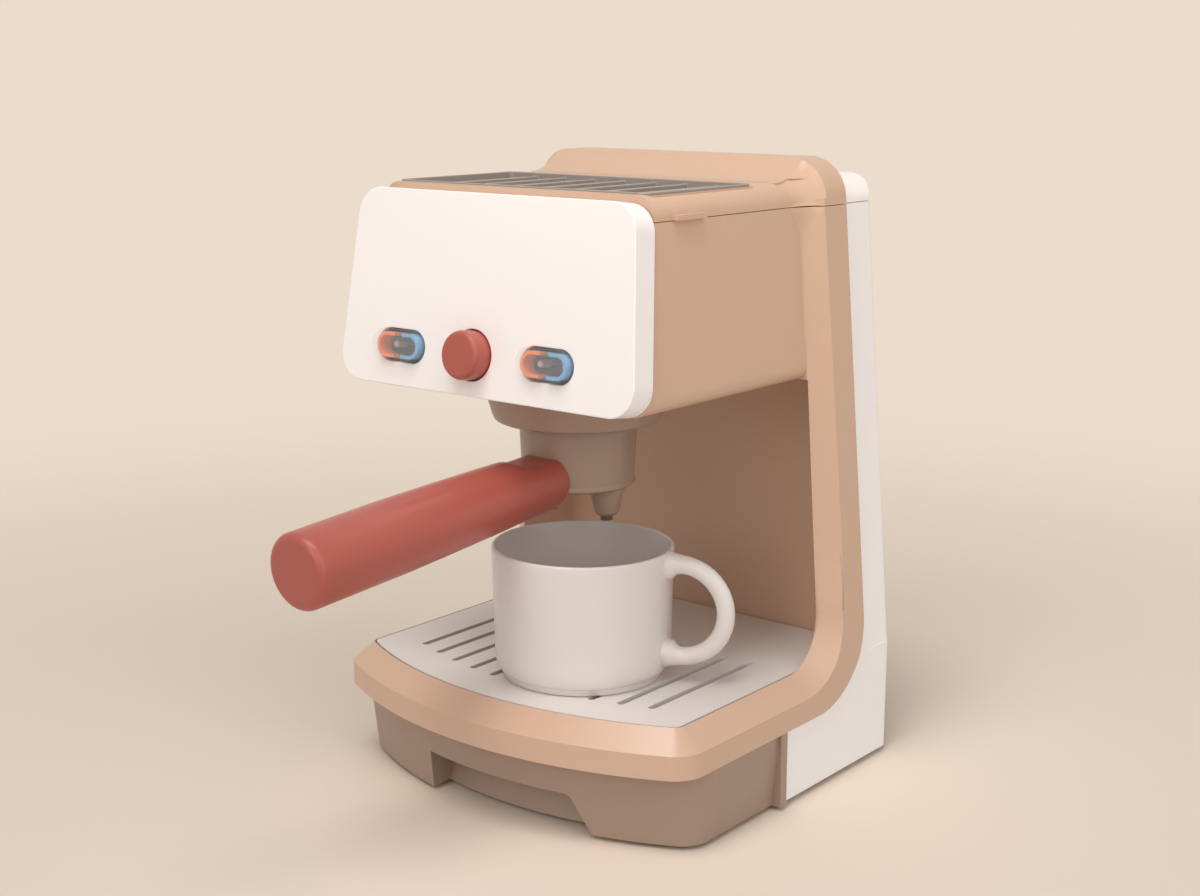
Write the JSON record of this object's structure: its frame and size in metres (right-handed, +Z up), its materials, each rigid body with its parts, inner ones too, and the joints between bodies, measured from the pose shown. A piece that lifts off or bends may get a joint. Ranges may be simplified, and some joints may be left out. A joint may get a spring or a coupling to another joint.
{
  "type": "toy espresso machine",
  "caption": "Pretend-play espresso machine with a hinged lid, twist-in filter handle, push button, lift-out drip plate and a play cup.",
  "frame": {"origin": "middle of the overall box, on the surface it stands on", "axes": "+Z up, -Y the front with the handle, +X the viewer's right seen from the front"},
  "size_m": [0.1924, 0.2762, 0.2698],
  "materials": {
    "tan_plastic": "satin moulded",
    "brown_plastic": "satin moulded",
    "white_plastic": "satin moulded",
    "plate_plastic": "satin moulded",
    "cup_plastic": "satin moulded",
    "red_plastic": "satin moulded",
    "grey_plastic": "satin moulded",
    "dark_plastic": "moulded",
    "clear_plastic": "clear, polished",
    "tank_plastic": "translucent",
    "orange_plastic": "translucent",
    "blue_plastic": "translucent",
    "lamp": "polished",
    "steel": "plated",
    "board": "lacquered",
    "cell": "printed sleeve, plain",
    "rubber": "matt"
  },
  "bodies": {
    "machine": {"front_shell": "tan_plastic", "base_skirt": "brown_plastic", "rear_cover": "white_plastic", "fascia": "white_plastic", "group_collar": "brown_plastic", "drip_basin": "tan_plastic", "water_tank": "tank_plastic", "water_pipe": "grey_plastic", "hinge_pins": "steel", "water_pump": "dark_plastic", "button_switch": "dark_plastic", "lens_left": "clear_plastic", "lens_right": "clear_plastic", "indicator_orange": "orange_plastic", "indicator_blue": "blue_plastic", "circuit_board": "board", "led_lamps": "lamp", "board_screws": "steel", "speaker": "dark_plastic", "battery_box": "dark_plastic", "battery_cells": "cell", "battery_contacts": "steel", "battery_door": "brown_plastic", "door_screw": "steel", "base_screws": "steel", "cover_screws": "steel", "rubber_feet": "rubber"},
    "lid": {"lid_top": "tan_plastic", "lid_back": "white_plastic", "warmer_tray": "grey_plastic"},
    "button": {"push_button": "red_plastic", "switch_plunger": "white_plastic"},
    "filter_holder": {"filter_cup": "brown_plastic", "filter_disc": "steel", "outlet_tubes": "dark_plastic", "filter_handle": "red_plastic"},
    "drip_tray": {"drip_plate": "plate_plastic"},
    "cup": {"cup": "cup_plastic"}
  },
  "joints": [
    {"name": "lid_hinge", "type": "hinge", "parent": "machine", "child": "lid", "pos_m": [0, 0.13488, 0.25015], "axis": [-1, 0, 0], "range_deg": [0, 80]},
    {"name": "button_press", "type": "slide", "parent": "machine", "child": "button", "axis": [0, 0.9923, -0.1236], "range_m": [0, 0.003], "stiffness_N_per_m": 500, "springref_m": -0.002},
    {"name": "filter_holder_twist", "type": "hinge", "parent": "machine", "child": "filter_holder", "pos_m": [0, 0.02388, 0.1625], "axis": [0, 0, -1], "range_deg": [0, 40]},
    {"name": "drip_plate_lift", "type": "slide", "parent": "machine", "child": "drip_tray", "axis": [0, 0, 1], "range_m": [0, 0.005]},
    {"name": "cup_slide", "type": "slide", "parent": "drip_tray", "child": "cup", "axis": [1, 0, 0], "range_m": [0, 0.125]}
  ]
}
